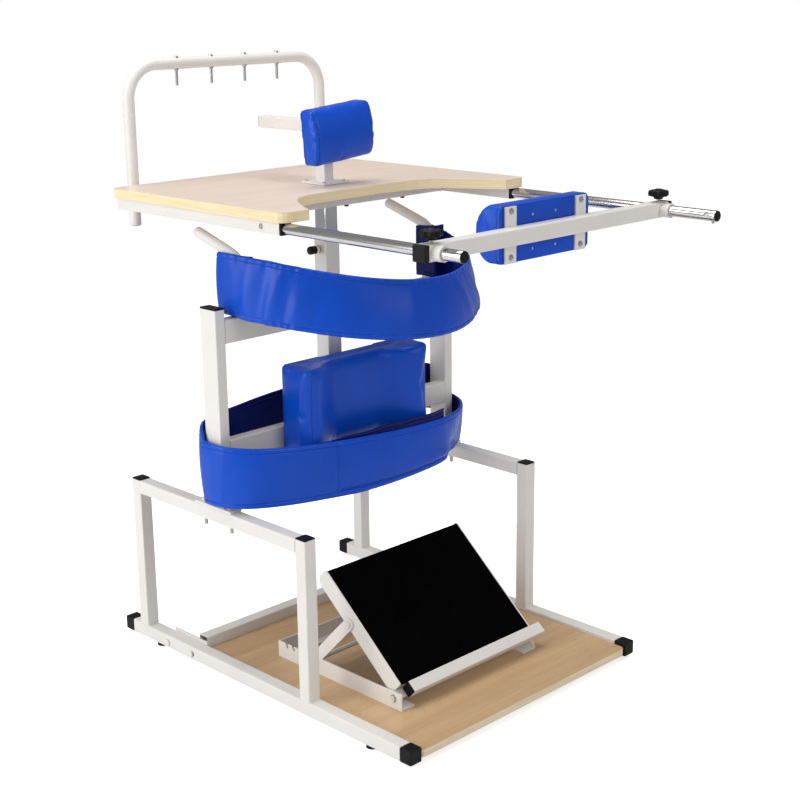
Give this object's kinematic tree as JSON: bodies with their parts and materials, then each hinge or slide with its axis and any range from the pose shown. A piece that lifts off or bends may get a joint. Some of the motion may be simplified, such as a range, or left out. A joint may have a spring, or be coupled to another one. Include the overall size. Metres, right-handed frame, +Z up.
{
  "type": "standing frame",
  "caption": "Tubular standing frame with a tilting footboard, knee block, hip and knee belts, a bayed table on a telescopic column, an arch, a chest pad and a sliding back rest",
  "frame": {"origin": "on the floor, in the middle of the object's bounding box across and along it", "axes": "+Z up; +Y from the open entry side, where the back rest is, towards the arch; +X to the right of the person who stands on the platform and faces +Y"},
  "size_m": [0.731, 1.111, 1.2972],
  "materials": {
    "powder_coat": "satin",
    "black_plastic": "satin",
    "black_rubber": "matte",
    "board_mat": "matte",
    "beech_laminate": "satin",
    "pale_laminate": "satin",
    "blue_vinyl": "satin",
    "chrome": "polished"
  },
  "bodies": {
    "base": {"bottom_rail_left": "powder_coat", "bottom_rail_right": "powder_coat", "floor_pad_front_left": "black_rubber", "floor_pad_front_right": "black_rubber", "floor_pad_rear_left": "black_rubber", "floor_pad_rear_right": "black_rubber", "front_upright_left": "powder_coat", "front_upright_right": "powder_coat", "handle_left": "powder_coat", "handle_right": "powder_coat", "hip_belt": "blue_vinyl", "knee_belt": "blue_vinyl", "knee_block": "blue_vinyl", "lower_crossbar": "powder_coat", "outer_column": "powder_coat", "platform": "beech_laminate", "post_left": "powder_coat", "post_right": "powder_coat", "post_shoe_left": "powder_coat", "post_shoe_right": "powder_coat", "rack_left": "powder_coat", "rack_rear_plate": "powder_coat", "rack_right": "powder_coat", "rail_cap_front_left": "black_plastic", "rail_cap_front_right": "black_plastic", "rail_cap_rear_left": "black_plastic", "rail_cap_rear_right": "black_plastic", "rear_cross_rail": "powder_coat", "rear_upright_left": "powder_coat", "rear_upright_right": "powder_coat", "top_rail_left": "powder_coat", "top_rail_right": "powder_coat", "upper_crossbar": "powder_coat"},
    "table": {"table_top": "pale_laminate", "table_rail_left": "powder_coat", "table_rail_right": "powder_coat", "guide_bush_left": "black_plastic", "guide_bush_right": "black_plastic", "table_cross_front": "powder_coat", "table_cross_rear": "powder_coat", "inner_column": "chrome", "arch": "powder_coat", "chest_post": "powder_coat"},
    "chest_rest": {"chest_arm": "powder_coat", "chest_pad": "blue_vinyl"},
    "left_tube": {"slide_tube_left": "chrome"},
    "right_tube": {"slide_tube_right": "chrome"},
    "back_rest": {"back_bar": "powder_coat", "bar_cap_left": "black_plastic", "bar_cap_right": "black_plastic", "back_pad": "blue_vinyl"},
    "left_knob": {"clamp_knob_left": "black_plastic"},
    "right_knob": {"clamp_knob_right": "black_plastic"},
    "board_frame": {"tilt_frame": "powder_coat", "foot_plate": "board_mat", "heel_stop": "powder_coat"},
    "prop": {"prop_frame": "powder_coat"},
    "lock": {"lock_pin": "black_plastic"}
  },
  "joints": [
    {"name": "table_height", "type": "slide", "parent": "base", "child": "table", "axis": [0, 0, 1], "range_m": [-0.025, 0.15]},
    {"name": "chest_rest_reach", "type": "slide", "parent": "table", "child": "chest_rest", "axis": [0, 1, 0], "range_m": [-0.1, 0]},
    {"name": "left_tube_slide", "type": "slide", "parent": "table", "child": "left_tube", "axis": [0, 1, 0], "range_m": [-0.12, 0.025]},
    {"name": "right_tube_slide", "type": "slide", "parent": "table", "child": "right_tube", "axis": [0, 1, 0], "range_m": [-0.06, 0.1]},
    {"name": "back_rest_slide", "type": "slide", "parent": "table", "child": "back_rest", "axis": [0, 1, 0], "range_m": [-0.025, 0.15]},
    {"name": "left_knob_turn", "type": "hinge", "parent": "back_rest", "child": "left_knob", "pos_m": [-0.328, -0.4155, 1.03], "axis": [0, 0, 1], "continuous": true},
    {"name": "right_knob_turn", "type": "hinge", "parent": "back_rest", "child": "right_knob", "pos_m": [0.328, -0.4155, 1.03], "axis": [0, 0, 1], "continuous": true},
    {"name": "lock_pin_pull", "type": "slide", "parent": "base", "child": "lock", "axis": [-1, 0, 0], "range_m": [0, 0.01], "stiffness_N_per_m": 300, "springref_m": -0.004},
    {"name": "board_tilt", "type": "hinge", "parent": "base", "child": "board_frame", "pos_m": [-0.0285, -0.2115, 0.0523], "axis": [1, 0, 0], "range_deg": [0, 8]},
    {"name": "prop_swing", "type": "hinge", "parent": "board_frame", "child": "prop", "pos_m": [-0.0285, -0.07722, 0.17176], "axis": [1, 0, 0], "range_deg": [0, 20.5]}
  ],
  "couplings": [
    {"joint": "prop_swing", "follows": "board_tilt", "ratio": 2.49}
  ]
}
